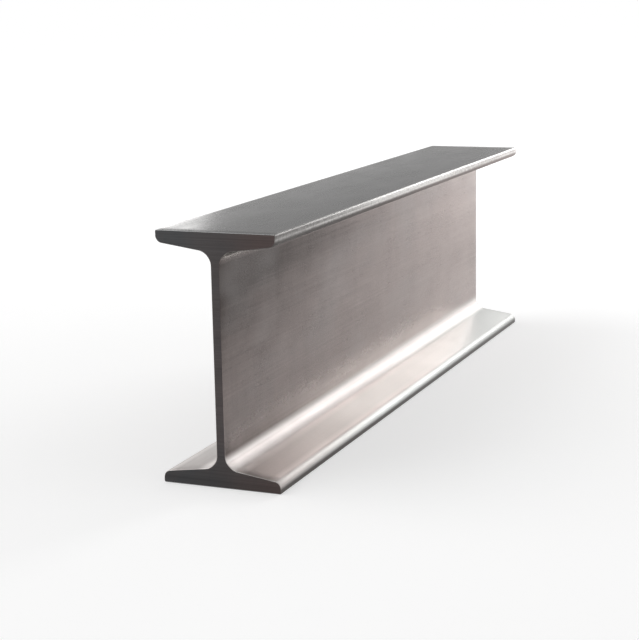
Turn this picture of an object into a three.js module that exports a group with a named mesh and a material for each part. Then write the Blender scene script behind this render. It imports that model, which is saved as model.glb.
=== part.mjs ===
// Short length of hot-rolled steel beam: an I-section with tapered flanges, rolled in one piece
// and sawn square at both ends.
// Millimetres. +X runs along the beam, +Y across its flanges and +Z up through its web.
// The origin is the middle of the bottom flange's underside, at mid-length.
import * as THREE from 'three';

// Driving dimensions
const LENGTH = 500;            // from one sawn end to the other
const DEPTH = 150;             // over both flanges
const FLANGE_WIDTH = 75;
const WEB_THICKNESS = 5.5;
const FLANGE_THICKNESS = 9.5;  // midway between the web's face and the flange's tip
const TAPER_DEGREES = 8;       // slope of the flanges' inner faces
const ROOT_RADIUS = 9;         // hollow between the web and a flange's inner face
const TOE_RADIUS = 4.5;        // inner edge of a flange's tip
const EDGE_RADIUS = 1;         // outer edge of a flange's tip, as the rolls leave it

// Facets along each arc of the outline
const ROOT_FACETS = 16;
const TOE_FACETS = 12;
const EDGE_FACETS = 4;

const QUARTER_TURN = Math.PI / 2;
const HALF_TURN = Math.PI;

const rolledSteel = new THREE.MeshStandardMaterial({
  name: 'rolled_steel',
  color: 0x8f8a88,
  metalness: 1,
  roughness: 0.4,
});

// A quarter of the section's outline, above mid-depth on the +Y side, from the top flange's
// outer face round its tip and in to the web's face. x is across the beam and y is up.
function quarterOutline() {
  const taper = THREE.MathUtils.degToRad(TAPER_DEGREES);
  const tip = FLANGE_WIDTH / 2;
  const webFace = WEB_THICKNESS / 2;
  const midFlange = (tip + webFace) / 2;

  // Height, at x, of a line that runs parallel to the inner face and lies "offset" above it
  const parallelToInnerFace = (x, offset) =>
    DEPTH - FLANGE_THICKNESS + (x - midFlange) * Math.tan(taper) + offset / Math.cos(taper);

  const edgeX = tip - EDGE_RADIUS;
  const edgeY = DEPTH - EDGE_RADIUS;
  const edge = new THREE.ArcCurve(edgeX, edgeY, EDGE_RADIUS, QUARTER_TURN, 0, true);

  // The toe is tangent to the tip and to the inner face
  const toeX = tip - TOE_RADIUS;
  const toeY = parallelToInnerFace(toeX, TOE_RADIUS);
  const toe = new THREE.ArcCurve(toeX, toeY, TOE_RADIUS, 0, taper - QUARTER_TURN, true);

  // The root is tangent to the inner face and to the web
  const rootX = webFace + ROOT_RADIUS;
  const rootY = parallelToInnerFace(rootX, -ROOT_RADIUS);
  const root = new THREE.ArcCurve(rootX, rootY, ROOT_RADIUS, QUARTER_TURN + taper, HALF_TURN, false);

  return [
    ...edge.getPoints(EDGE_FACETS),
    ...toe.getPoints(TOE_FACETS),
    ...root.getPoints(ROOT_FACETS),
  ];
}

// The whole section: the quarter mirrored about mid-depth, then that half about the web
function sectionShape() {
  const upperRight = quarterOutline();
  const lowerRight = upperRight.map((point) => new THREE.Vector2(point.x, DEPTH - point.y)).reverse();
  const right = [...upperRight, ...lowerRight];
  const left = right.map((point) => new THREE.Vector2(-point.x, point.y)).reverse();
  return new THREE.Shape([...right, ...left]);
}

// The section is drawn in x and y and extruded along z, so those axes are turned to Y, Z and X
function beamGeometry() {
  const geometry = new THREE.ExtrudeGeometry(sectionShape(), { depth: LENGTH, bevelEnabled: false });
  geometry.translate(0, 0, -LENGTH / 2);
  const across = new THREE.Vector3(0, 1, 0);
  const up = new THREE.Vector3(0, 0, 1);
  const along = new THREE.Vector3(1, 0, 0);
  geometry.applyMatrix4(new THREE.Matrix4().makeBasis(across, up, along));
  return geometry;
}

const beam = new THREE.Mesh(beamGeometry(), rolledSteel);
beam.name = 'h_beam';

const part = new THREE.Group();
part.name = 'steel_h_beam';
part.add(beam);

export default part;
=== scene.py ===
"""Looks of a short length of hot-rolled steel beam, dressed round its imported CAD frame."""

import math
import bpy
from mathutils import Matrix, Vector


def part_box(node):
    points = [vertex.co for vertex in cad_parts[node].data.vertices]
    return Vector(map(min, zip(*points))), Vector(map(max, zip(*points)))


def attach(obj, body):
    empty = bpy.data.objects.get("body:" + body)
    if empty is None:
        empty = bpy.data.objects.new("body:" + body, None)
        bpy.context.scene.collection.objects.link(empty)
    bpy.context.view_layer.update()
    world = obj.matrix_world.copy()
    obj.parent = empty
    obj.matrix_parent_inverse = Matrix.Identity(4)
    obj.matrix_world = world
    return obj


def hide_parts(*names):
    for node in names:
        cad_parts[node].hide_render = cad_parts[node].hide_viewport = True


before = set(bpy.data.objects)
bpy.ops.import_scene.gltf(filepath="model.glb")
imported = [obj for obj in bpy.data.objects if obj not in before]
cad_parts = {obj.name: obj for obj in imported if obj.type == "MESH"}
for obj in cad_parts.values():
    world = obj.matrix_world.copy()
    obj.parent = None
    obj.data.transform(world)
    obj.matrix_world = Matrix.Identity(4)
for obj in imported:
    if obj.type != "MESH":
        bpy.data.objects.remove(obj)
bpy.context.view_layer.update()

# The beam's section and length in metres, as in its CAD source
low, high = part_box("h_beam")
LENGTH = high.x - low.x
FLANGE_WIDTH = high.y - low.y
DEPTH = high.z - low.z
WEB_THICKNESS = 0.0055
FLANGE_THICKNESS = 0.0095
TAPER = math.radians(8)
ROOT_RADIUS = 0.009
TOE_RADIUS = 0.0045
EDGE_RADIUS = 0.001
TIP = FLANGE_WIDTH / 2      # from the web's middle to a flange's tip
ARRIS = 0.00035             # the sawn ends' sharp edges, rubbed a little

# Points along each arc, and rings along the beam
ROOT_POINTS = 36
TOE_POINTS = 24
EDGE_POINTS = 8
ARRIS_RINGS = 4
LENGTH_RINGS = 60

# Steel as reflectance. Rolling leaves a warm grey scale on the web and on the flanges' inner
# faces, and a duller, neutral one on the outer faces.
INNER_DARK = (0.080, 0.068, 0.065, 1)
INNER_LIGHT = (0.569, 0.488, 0.466, 1)
COOL_STAIN = (0.330, 0.322, 0.320, 1)
UNDER_FLANGE_SHADE = (0.130, 0.130, 0.124, 1)      # painted shade under the upper flange
OUTER_DARK = (0.300, 0.304, 0.304, 1)
OUTER_LIGHT = (0.380, 0.384, 0.384, 1)
# The lower flange's inner faces carry a painted sheen, with painted highlights in the roots and
# beside the toes
PAINTED_SHEEN_DARK = (0.450, 0.420, 0.407, 1)
PAINTED_SHEEN_LIGHT = (0.630, 0.594, 0.578, 1)
PAINTED_SHEEN_MID = (0.705, 0.724, 0.708, 1)       # painted sheen beyond the near end
PAINTED_SHEEN_FAR = (0.530, 0.537, 0.526, 1)       # painted sheen towards the far end
PAINTED_HIGHLIGHT = (0.850, 0.812, 0.794, 1)
PAINTED_CREST_HIGHLIGHT = (0.570, 0.530, 0.516, 1)       # dimmer painted highlight in the middle of a root's arc
# The upper tips carry a painted highlight, stronger towards the far end. The lower tips and the
# top's near edges get painted shade.
PAINTED_TIP_HIGHLIGHT = (0.900, 0.885, 0.870, 1)
PAINTED_TIP_SHADE = (0.130, 0.122, 0.118, 1)
GRAZING_TINT = (0.760, 0.750, 0.745, 1)     # times what an ideal metal reflects near grazing
# The sawn ends' colours are kept dark as painted shade
SAWN_COOL = (0.080, 0.083, 0.086, 1)
SAWN_BROWN = (0.098, 0.077, 0.074, 1)

# Marks in the steel, as cloudy noise: the size of the clouds along x, y and z in metres, the
# number of finer layers, how strong those are, and how the whole is turned
SAW_TILT = (math.radians(7), 0, 0)
MILL_MARKS = {
    "grain": ((0.0006, 0.0006, 0.0006), 3, 0.5),
    "pores": ((0.0022, 0.0022, 0.0022), 4, 0.6),
    "draw": ((0.16, 0.0014, 0.0014), 4, 0.55),
    "fine_draw": ((0.05, 0.0004, 0.0004), 2, 0.5),
    "clouds": ((0.045, 0.022, 0.022), 5, 0.55),
    "stain": ((0.11, 0.05, 0.05), 3, 0.5),
    "chatter": ((0.012, 0.2, 0.2), 3, 0.6),
}
SAWN_MARKS = {
    "scores": ((0.05, 0.09, 0.0007), 3, 0.6, SAW_TILT),
    "broad": ((0.05, 0.15, 0.006), 2, 0.5, SAW_TILT),
    "blotch": ((0.02, 0.016, 0.016), 4, 0.5),
    "grain": ((0.0005, 0.0005, 0.0005), 2, 0.5),
}

# How much each mark counts
SCALE_TONE = {"clouds": 0.14, "draw": 0.12, "chatter": 0.06, "pores": 0.05, "grain": 0.05}
SCALE_WEAR = {"clouds": 0.30, "draw": 0.20, "pores": 0.25, "grain": 0.25}
TIP_HIGHLIGHT_PATCHES = {"draw": 0.5, "pores": 0.5}
ROLLED_LINES = {"draw": 0.7, "fine_draw": 0.3}
PITS = {"pores": 0.5, "grain": 0.5}
SAWN_TONE = {"scores": 0.45, "broad": 0.25, "grain": 0.15, "blotch": 0.15}
BROWNING = {"browner_side": 0.7, "blotch": 0.6}
LINE_DEPTH = 0.000012
PIT_DEPTH = 0.0000035
SCORE_DEPTH = 0.00003

# How a sum of marks is spread: its low and high end turn into 0 and 1, or into the next two
INNER_SHADE = (-0.15, 0.50)
OUTER_SHADE = (-0.04, 0.46)
STAINED = (0.48, 0.68, 0.0, 0.25)
PATCHY = (0.38, 0.56, 0.35, 1.0)
SCALE_ROUGHNESS = (0.35, 0.65, 0.45, 0.33)
BROWNED = (0.2, 1.0)
SAWN_SHADE = (0.36, 0.64, 0.86, 1.14)
SAWN_ROUGHNESS = (0.35, 0.65, 0.64, 0.52)

# What each zone adds to the steel's tone or to its roughness
# Painted light and shade in the web's tone: lighter towards the far end, painted shade high on the
# web near the near end turning to painted light far off, a painted glow low on the web, painted
# shade on the web just under the upper flange, and a painted highlight in the upper roots
INNER_TONES = {
    "along": 0.11,
    "upper_web_shade_and_light": 1.0,
    "lower_web_glow": 1.0,
    "web_head_shade": -0.06,
    "upper_root_highlight": 0.20,
    "web": -0.05,
}
# Painted light on the outer faces towards the near end, painted shade towards the far end
OUTER_TONES = {"along": -0.16}
ROUGHER = {"painted_sheen": -0.03, "rolled_flat": -0.14, "fillet": 0.18, "toe": 0.18, "web_foot": 0.08}
TIP_HIGHLIGHT_SHARE = 0.9          # how strong the painted highlight on the upper tips is

# Zones of the beam, each the product of its ramps. A ramp is a measure, where it starts and
# ends, and its levels there if they aren't 0 and 1. The measure "along" goes from -1 at the near
# sawn end to 1 at the far one. The others are in metres: "out" to either side of the web's
# middle, "height" above the underside, "from_middle" above or below mid-depth, and "root_height"
# the height less ROOT_RISE, by which the lower roots' painted highlight rises towards the far end.
EASED = "SMOOTHSTEP"
ROOT_RISE = (-0.4, 0.8, 0.0, 0.0022)
WEB = ("out", 0.008, 0.003)
EDGE = ("out", TIP - 0.0012, TIP - 0.0004)
LOWER_ROOT = (("root_height", 0.0205, 0.0160), ("out", 0.016, 0.011), ("height", 0.002, 0.004))
ZONES = {
    "along": (("along", -1.0, 1.0, -1.0, 1.0),),
    "web": (WEB,),
    "web_head_shade": (("height", DEPTH - 0.044, DEPTH - 0.028, 0.0, 1.0, EASED),),
    "web_foot": (WEB, ("height", 0.036, 0.019)),
    "upper_web_shade_and_light": (
        ("height", 0.040, DEPTH - 0.015, 0.0, 1.0, EASED),
        ("along", -1.0, 1.0, -0.25, 0.13),
    ),
    "lower_web_glow": (("height", 0.060, 0.020), ("along", -1.0, 1.0, -0.08, 0.19)),
    "upper_root_highlight": (("height", DEPTH - 0.0210, DEPTH - 0.0170), ("out", 0.016, 0.011)),
    # Painted shade under the upper flange
    "under_flange_shade": (
        ("height", DEPTH - 0.0165, DEPTH - 0.0115, 0.0, 0.7),
        ("out", TIP - 0.0015, TIP - 0.0235, 0.45, 1.0),
    ),
    "lower_flange": (("out", 0.0030, 0.0100), ("height", DEPTH / 2 + 0.010, DEPTH / 2 - 0.010)),
    "lower_root_highlight": LOWER_ROOT,
    "fillet": (*LOWER_ROOT, ("out", 0.0110, 0.0075)),
    "crest": (("out", 0.0030, 0.0042), ("out", 0.0082, 0.0052)),
    "sheen_beyond_near_end": (("along", -0.95, -0.3, 0.0, 0.9),),
    "far_face_sheen": (("along", -0.3, 0.5), ("out", 0.0065, 0.0095)),
    "toe": (("out", TIP - 0.0045, TIP - 0.0025),),
    "toe_side_highlight": (
        ("out", TIP - 0.0085, TIP - 0.0045, 0.0, 0.7),
        ("out", TIP - 0.0013, TIP - 0.0030),
    ),
    "outside": (("from_middle", DEPTH / 2 - 0.0012, DEPTH / 2 - 0.0002),),
    "edge": (EDGE,),
    "upper_tip_highlight": (
        ("out", TIP - 0.0030, TIP - 0.0006),
        ("height", DEPTH - 0.0050, DEPTH - 0.0032),
        ("along", -1.0, 0.2, 0.45, 1.0),
    ),
    "near_edge_shade": (
        EDGE,
        ("height", DEPTH - 0.0030, DEPTH - 0.0015),
        ("along", -0.3, -0.9, 0.0, 0.6),
    ),
    "lower_tip_shade": (EDGE, ("height", 0.0045, 0.0025), ("along", -0.8, 0.8, 1.0, 0.8)),
}
# The sawn ends' browner side, by metres across, and their darker foot, by metres up
BROWNER_SIDE = (0.020, -0.030)
DARKER_FOOT = (0.030, 0.0, 1.0, 0.82)

# Camera: where the photograph was taken from, and its tilt
CAMERA_AT = (-1.0358, -0.3887, 0.2810)
CAMERA_YAW = math.radians(22.506)      # from +X towards +Y
CAMERA_PITCH = math.radians(11.779)    # downwards
CAMERA_ROLL = math.radians(-1.055)
FOCAL_PIXELS = 1575.1
FRAME_LONG_SIDE = 640                  # pixels, of 639 x 640
SENSOR = 36.0                          # millimetres, across the long side

# Studio: a white sweep all round, low on the horizon, under a grey ceiling
HORIZON = ((3, 1.0), (5.5, 0.64), (10, 0.46), (14, 0.41))   # (degrees up, brightness)
FLOOR_COLOR = (0.65, 0.65, 0.65, 1)
FLOOR_HALF_SIZE = 200
FLOOR_GAP = 0.0002
TOP_UP_NEAR = 0.45          # what the floor lacks of white among the softboxes
TOP_UP_FAR = 0.73           # and beyond their reach
TOP_UP_REACH = (1.2, 2.1)   # metres from the beam, where the one turns into the other
SHADED_TOP_UP = 0.30        # the floor is greyer beside the beam's web
SHADED_HEADING = math.radians(-79.5)
SHADED_START = (0.19, 0.41)     # metres that way, where the grey begins
SHADED_END = (0.9, 2.5)         # metres from the beam, where it turns white again

# Softboxes: degrees from +X towards +Y, degrees up, metres away, size and watts
SOFTBOXES = {
    "far_right": (-20, 18, 1.7, (0.55, 0.55), 8.8),
    "far": (0, 20, 1.7, (0.55, 0.70), 3.2),
    "far_left": (38, 9, 1.7, (0.4, 0.35), 0.85),
    "key": (115, 38, 2.8, (3.0, 3.0), 38.0),
    "front": (-80, 18, 2.6, (3.0, 1.4), 13.0),
}
LIT_POINT = Vector((0, 0, 0.08))        # what they all face


# ---------------------------------------------------------------- shape

def arc(centre, radius, start, end, count):
    """Points and outward normals along an arc; a negative radius is a hollow one."""
    found = []
    for step in range(count + 1):
        angle = start + (end - start) * step / count
        direction = Vector((math.cos(angle), math.sin(angle)))
        outward = direction if radius > 0 else -direction
        found.append((centre + direction * abs(radius), outward))
    return found


def quarter_outline():
    """Top right quarter of the section, from the edge of the top face to the web."""
    web_face = WEB_THICKNESS / 2
    mid_flange = (TIP + web_face) / 2

    def beside_inner_face(y, offset):
        rise = (y - mid_flange) * math.tan(TAPER) + offset / math.cos(TAPER)
        return Vector((y, DEPTH - FLANGE_THICKNESS + rise))

    edge_centre = Vector((TIP - EDGE_RADIUS, DEPTH - EDGE_RADIUS))
    toe_centre = beside_inner_face(TIP - TOE_RADIUS, TOE_RADIUS)
    root_centre = beside_inner_face(web_face + ROOT_RADIUS, -ROOT_RADIUS)
    quarter_turn = math.pi / 2
    edge = arc(edge_centre, EDGE_RADIUS, quarter_turn, 0, EDGE_POINTS)
    toe = arc(toe_centre, TOE_RADIUS, 0, TAPER - quarter_turn, TOE_POINTS)
    root = arc(root_centre, -ROOT_RADIUS, quarter_turn + TAPER, math.pi, ROOT_POINTS)
    return edge + toe + root


def section_outline():
    """The whole section as (point, outward normal) pairs, clockwise from the top right edge."""
    upper = quarter_outline()
    lower = [(Vector((p.x, DEPTH - p.y)), Vector((n.x, -n.y))) for p, n in reversed(upper)]
    right = upper + lower
    left = [(Vector((-p.x, p.y)), Vector((-n.x, n.y))) for p, n in reversed(right)]
    return right + left


def stations():
    """(x, inset) of each ring: the sawn ends' rubbed arrises, and even steps between them."""
    turns = [math.pi / 2 * step / ARRIS_RINGS for step in range(ARRIS_RINGS + 1)]
    arris = [(ARRIS * (1 - math.sin(turn)), ARRIS * (1 - math.cos(turn))) for turn in turns]
    start = [(back - LENGTH / 2, inset) for inset, back in arris]
    end = [(LENGTH / 2 - back, inset) for inset, back in reversed(arris)]
    plain = LENGTH - 2 * ARRIS
    middle = [(plain * (step / LENGTH_RINGS - 0.5), 0.0) for step in range(1, LENGTH_RINGS)]
    return start + middle + end


def build_beam(skin, sawn):
    """The beam as rings of its section, smooth along its skin, with a flat face at each end."""
    outline = section_outline()
    count = len(outline)
    verts = []
    for x, inset in stations():
        for point, normal in outline:
            flat = point - normal * inset
            verts.append((x, flat.x, flat.y))
    rings = len(verts) // count
    faces = []
    for ring in range(rings - 1):
        for corner in range(count):
            following = (corner + 1) % count
            faces.append((
                (ring + 1) * count + corner,
                (ring + 1) * count + following,
                ring * count + following,
                ring * count + corner,
            ))
    skin_faces = len(faces)
    faces.append(tuple(range(count)))
    faces.append(tuple(range((rings - 1) * count, rings * count))[::-1])
    mesh = bpy.data.meshes.new("rolled_beam")
    mesh.from_pydata(verts, [], faces)
    mesh.materials.append(skin)
    mesh.materials.append(sawn)
    for polygon in mesh.polygons:
        polygon.use_smooth = polygon.index < skin_faces
        polygon.material_index = 0 if polygon.index < skin_faces else 1
    mesh.update()
    beam = bpy.data.objects.new("rolled_beam", mesh)
    bpy.context.collection.objects.link(beam)
    return beam


# ---------------------------------------------------------------- materials

class Graph:
    """One material's nodes, with a short call for each kind that is used more than once."""

    def __init__(self, name):
        self.material = bpy.data.materials.new(name)
        self.material.use_nodes = True
        self.nodes = self.material.node_tree.nodes
        self.links = self.material.node_tree.links
        self.shader = self.nodes["Principled BSDF"]

    def put(self, socket, value):
        """Links an output to the socket, or writes a plain value in it."""
        if isinstance(value, bpy.types.NodeSocket):
            self.links.new(value, socket)
        else:
            socket.default_value = value

    def place(self):
        """Where a point is on the beam, in metres."""
        return self.nodes.new("ShaderNodeTexCoord").outputs["Object"]

    def coordinates(self):
        """The place as x, y and z."""
        split = self.nodes.new("ShaderNodeSeparateXYZ")
        self.put(split.inputs[0], self.place())
        return split.outputs

    def noise(self, place, grain, detail, sharpness, turn=(0, 0, 0)):
        """Cloudy noise from 0 to 1, as a row of marks says."""
        mapping = self.nodes.new("ShaderNodeMapping")
        self.put(mapping.inputs["Vector"], place)
        mapping.inputs["Rotation"].default_value = turn
        mapping.inputs["Scale"].default_value = [1 / size for size in grain]
        texture = self.nodes.new("ShaderNodeTexNoise")
        self.put(texture.inputs["Vector"], mapping.outputs[0])
        texture.inputs["Scale"].default_value = 1.0
        texture.inputs["Detail"].default_value = detail
        texture.inputs["Roughness"].default_value = sharpness
        return texture.outputs["Fac"]

    def marks(self, rows):
        """Noise for each row, by name."""
        place = self.place()
        return {name: self.noise(place, *row) for name, row in rows.items()}

    def spread(self, value, start, end, low=0.0, high=1.0, shape="LINEAR"):
        """Turns start to end into low to high, and holds those beyond."""
        node = self.nodes.new("ShaderNodeMapRange")
        node.interpolation_type = shape
        self.put(node.inputs["Value"], value)
        node.inputs["From Min"].default_value = start
        node.inputs["From Max"].default_value = end
        node.inputs["To Min"].default_value = low
        node.inputs["To Max"].default_value = high
        return node.outputs["Result"]

    def math(self, operation, first, second=0.0):
        node = self.nodes.new("ShaderNodeMath")
        node.operation = operation
        self.put(node.inputs[0], first)
        self.put(node.inputs[1], second)
        return node.outputs[0]

    def product(self, first, *others):
        for other in others:
            first = self.math("MULTIPLY", first, other)
        return first

    def total(self, *values):
        """Sum of (value, weight) pairs."""
        summed = 0.0
        for value, weight in values:
            summed = self.math("ADD", self.math("MULTIPLY", value, weight), summed)
        return summed

    def blend(self, values, weights):
        """Sum of the named values, each times its weight."""
        return self.total(*((values[name], weight) for name, weight in weights.items()))

    def mix(self, factor, first, second):
        node = self.nodes.new("ShaderNodeMix")
        node.data_type = "RGBA"
        self.put(node.inputs["Factor"], factor)
        self.put(node.inputs["A"], first)
        self.put(node.inputs["B"], second)
        return node.outputs["Result"]

    def relief(self, height, rise, under=None):
        """A bump whose height goes from 0 to 1 over that many metres."""
        node = self.nodes.new("ShaderNodeBump")
        node.inputs["Distance"].default_value = rise
        self.put(node.inputs["Height"], height)
        if under is not None:
            self.put(node.inputs["Normal"], under)
        return node.outputs["Normal"]


def beam_zones(graph):
    """A mask for each of the zones, by name."""
    x, across, height = graph.coordinates()
    along = graph.spread(x, -LENGTH / 2, LENGTH / 2, -1.0, 1.0)
    measures = {
        "along": along,
        "out": graph.math("ABSOLUTE", across),
        "height": height,
        "from_middle": graph.math("ABSOLUTE", graph.math("SUBTRACT", height, DEPTH / 2)),
        "root_height": graph.math("SUBTRACT", height, graph.spread(along, *ROOT_RISE)),
    }
    masks = {}
    for name, ramps in ZONES.items():
        masks[name] = graph.product(*(graph.spread(measures[key], *reach) for key, *reach in ramps))
    return masks


def inner_color(graph, marks, zone, tone):
    """Warm scale on the web and the flanges' inner faces, with painted light and shade on the web,
    painted shade under the upper flange, and a painted sheen with painted highlights on the lower
    flange.
    """
    toned = graph.math("ADD", tone, graph.blend(zone, INNER_TONES))
    shade = graph.spread(toned, *INNER_SHADE)
    scale = graph.mix(shade, INNER_DARK, INNER_LIGHT)
    scale = graph.mix(graph.spread(marks["stain"], *STAINED), scale, COOL_STAIN)

    # Painted sheen on the lower flange, with painted highlights in the roots and beside the toes
    sheen = graph.mix(shade, PAINTED_SHEEN_DARK, PAINTED_SHEEN_LIGHT)
    sheen = graph.mix(zone["sheen_beyond_near_end"], sheen, PAINTED_SHEEN_MID)
    root = graph.mix(zone["crest"], PAINTED_HIGHLIGHT, PAINTED_CREST_HIGHLIGHT)
    sheen = graph.mix(zone["lower_root_highlight"], sheen, root)
    sheen = graph.mix(zone["toe_side_highlight"], sheen, PAINTED_HIGHLIGHT)
    sheen = graph.mix(zone["far_face_sheen"], sheen, PAINTED_SHEEN_FAR)

    painted_sheen = graph.math("MAXIMUM", zone["lower_flange"], zone["lower_root_highlight"])
    color = graph.mix(painted_sheen, scale, sheen)
    return graph.mix(zone["under_flange_shade"], color, UNDER_FLANGE_SHADE)


def mill_roughness(graph, marks, zone, painted_sheen):
    """Smoothest where the rolls press flat, and rougher in the lower roots and on the toes."""
    outer_face = graph.math("SUBTRACT", zone["outside"], zone["edge"])
    rolled_flat = graph.math("MAXIMUM", zone["web"], outer_face)
    flat_toe = graph.math("MINIMUM", zone["toe"], rolled_flat)
    toe = graph.math("SUBTRACT", zone["toe"], flat_toe)
    worn = graph.spread(graph.blend(marks, SCALE_WEAR), *SCALE_ROUGHNESS)
    places = {**zone, "painted_sheen": painted_sheen, "rolled_flat": rolled_flat, "toe": toe}
    return graph.math("ADD", worn, graph.blend(places, ROUGHER))


def mill_finish():
    """The scale that rolling leaves, drawn out lengthways, with painted light, highlights and shade
    in places.
    """
    graph = Graph("mill_finish_steel")
    marks = graph.marks(MILL_MARKS)
    zone = beam_zones(graph)
    patches = graph.spread(graph.blend(marks, TIP_HIGHLIGHT_PATCHES), *PATCHY)
    # Painted highlight on the upper tips, broken up in patches
    painted_sheen = graph.product(zone["upper_tip_highlight"], patches)

    tone = graph.blend(marks, SCALE_TONE)
    inner = inner_color(graph, marks, zone, tone)
    outer_tone = graph.math("ADD", tone, graph.blend(zone, OUTER_TONES))
    outer = graph.mix(graph.spread(outer_tone, *OUTER_SHADE), OUTER_DARK, OUTER_LIGHT)
    color = graph.mix(zone["outside"], inner, outer)
    color = graph.mix(graph.product(painted_sheen, TIP_HIGHLIGHT_SHARE), color, PAINTED_TIP_HIGHLIGHT)
    # Painted shade on the top's near edges and along the lower tips
    color = graph.mix(zone["near_edge_shade"], color, PAINTED_TIP_SHADE)
    color = graph.mix(zone["lower_tip_shade"], color, PAINTED_TIP_SHADE)
    graph.put(graph.shader.inputs["Base Color"], color)
    graph.shader.inputs["Metallic"].default_value = 1.0
    graph.shader.inputs["Specular Tint"].default_value = GRAZING_TINT
    graph.put(graph.shader.inputs["Roughness"], mill_roughness(graph, marks, zone, painted_sheen))

    lines = graph.relief(graph.blend(marks, ROLLED_LINES), LINE_DEPTH)
    pitted = graph.relief(graph.blend(marks, PITS), PIT_DEPTH, lines)
    graph.put(graph.shader.inputs["Normal"], pitted)
    return graph.material


def sawn_end():
    """Saw cut across the beam: painted dark as shade, matt and finely scored, browner on one side.
    """
    graph = Graph("sawn_end_steel")
    marks = graph.marks(SAWN_MARKS)
    _, across, height = graph.coordinates()
    marks["browner_side"] = graph.spread(across, *BROWNER_SIDE)
    browned = graph.spread(graph.blend(marks, BROWNING), *BROWNED)
    tone = graph.blend(marks, SAWN_TONE)
    level = graph.product(graph.spread(tone, *SAWN_SHADE), graph.spread(height, *DARKER_FOOT))
    shaded = graph.nodes.new("ShaderNodeHueSaturation")
    graph.put(shaded.inputs["Color"], graph.mix(browned, SAWN_COOL, SAWN_BROWN))
    graph.put(shaded.inputs["Value"], level)
    graph.put(graph.shader.inputs["Base Color"], shaded.outputs[0])
    graph.shader.inputs["Metallic"].default_value = 1.0
    graph.put(graph.shader.inputs["Roughness"], graph.spread(tone, *SAWN_ROUGHNESS))
    graph.put(graph.shader.inputs["Normal"], graph.relief(tone, SCORE_DEPTH))
    return graph.material


def floor_material():
    """Pale floor. Seen straight or in the steel it is white, with the beam's soft shadow on it."""
    graph = Graph("studio_floor")
    graph.shader.inputs["Base Color"].default_value = FLOOR_COLOR
    graph.shader.inputs["Roughness"].default_value = 1.0
    graph.shader.inputs["Specular IOR Level"].default_value = 0.0
    path = graph.nodes.new("ShaderNodeLightPath")
    seen = graph.math("MAXIMUM", path.outputs["Is Camera Ray"], path.outputs["Is Glossy Ray"])
    seen = graph.math("MAXIMUM", seen, path.outputs["Is Transmission Ray"])
    distance = graph.nodes.new("ShaderNodeVectorMath")
    distance.operation = "LENGTH"
    graph.put(distance.inputs[0], graph.place())
    away = distance.outputs["Value"]
    top_up = graph.spread(away, *TOP_UP_REACH, TOP_UP_NEAR, TOP_UP_FAR, EASED)
    aside = graph.nodes.new("ShaderNodeVectorMath")
    aside.operation = "DOT_PRODUCT"
    graph.put(aside.inputs[0], graph.place())
    aside.inputs[1].default_value = (math.cos(SHADED_HEADING), math.sin(SHADED_HEADING), 0)
    shaded = graph.product(
        graph.spread(aside.outputs["Value"], *SHADED_START, 0.0, 1.0, EASED),
        graph.spread(away, *SHADED_END, 1.0, 0.0, EASED),
    )
    top_up = graph.total((top_up, 1.0), (shaded, SHADED_TOP_UP - TOP_UP_NEAR))
    glow = graph.nodes.new("ShaderNodeEmission")
    graph.put(glow.inputs["Strength"], graph.product(seen, top_up))
    both = graph.nodes.new("ShaderNodeAddShader")
    graph.put(both.inputs[0], graph.shader.outputs[0])
    graph.put(both.inputs[1], glow.outputs[0])
    graph.put(graph.nodes["Material Output"].inputs["Surface"], both.outputs[0])
    return graph.material


# ---------------------------------------------------------------- studio

def build_floor():
    bpy.ops.mesh.primitive_plane_add(size=2 * FLOOR_HALF_SIZE, location=(0, 0, -FLOOR_GAP))
    floor = bpy.context.object
    floor.name = "studio_floor"
    floor.data.materials.append(floor_material())


def build_world():
    """White at the horizon, so that the floor runs into it, and grey above."""
    world = bpy.data.worlds.new("studio")
    bpy.context.scene.world = world
    world.use_nodes = True
    nodes, links = world.node_tree.nodes, world.node_tree.links
    direction = nodes.new("ShaderNodeTexCoord")
    split = nodes.new("ShaderNodeSeparateXYZ")
    links.new(direction.outputs["Generated"], split.inputs[0])
    ramp = nodes.new("ShaderNodeValToRGB")
    links.new(split.outputs["Z"], ramp.inputs[0])
    stops = ramp.color_ramp.elements
    while len(stops) < len(HORIZON):
        stops.new(0.5)
    for stop, (degrees, level) in zip(stops, HORIZON):
        stop.position = math.sin(math.radians(degrees))
        stop.color = (level, level, level, 1)
    links.new(ramp.outputs["Color"], nodes["Background"].inputs["Color"])


def add_softbox(name, azimuth, elevation, distance, size, power):
    light = bpy.data.lights.new(name, "AREA")
    light.shape = "RECTANGLE"
    light.size, light.size_y = size
    light.energy = power
    lamp = bpy.data.objects.new(name, light)
    turn, lift = math.radians(azimuth), math.radians(elevation)
    away = Vector((
        math.cos(lift) * math.cos(turn),
        math.cos(lift) * math.sin(turn),
        math.sin(lift),
    ))
    lamp.location = LIT_POINT + away * distance
    lamp.rotation_euler = (-away).to_track_quat("-Z", "Y").to_euler()
    bpy.context.collection.objects.link(lamp)


def add_camera():
    data = bpy.data.cameras.new("camera")
    data.sensor_width = SENSOR
    data.lens = FOCAL_PIXELS * SENSOR / FRAME_LONG_SIDE
    camera = bpy.data.objects.new("camera", data)
    heading = Matrix.Rotation(CAMERA_YAW - math.pi / 2, 4, "Z")
    tilt = Matrix.Rotation(math.pi / 2 - CAMERA_PITCH, 4, "X")
    roll = Matrix.Rotation(CAMERA_ROLL, 4, "Z")
    camera.matrix_world = Matrix.Translation(CAMERA_AT) @ heading @ tilt @ roll
    bpy.context.collection.objects.link(camera)
    bpy.context.scene.camera = camera


beam = build_beam(mill_finish(), sawn_end())
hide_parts("h_beam")
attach(beam, "root")

build_floor()
build_world()
for name, settings in SOFTBOXES.items():
    add_softbox(name, *settings)
add_camera()
bpy.context.scene.view_settings.view_transform = "Standard"
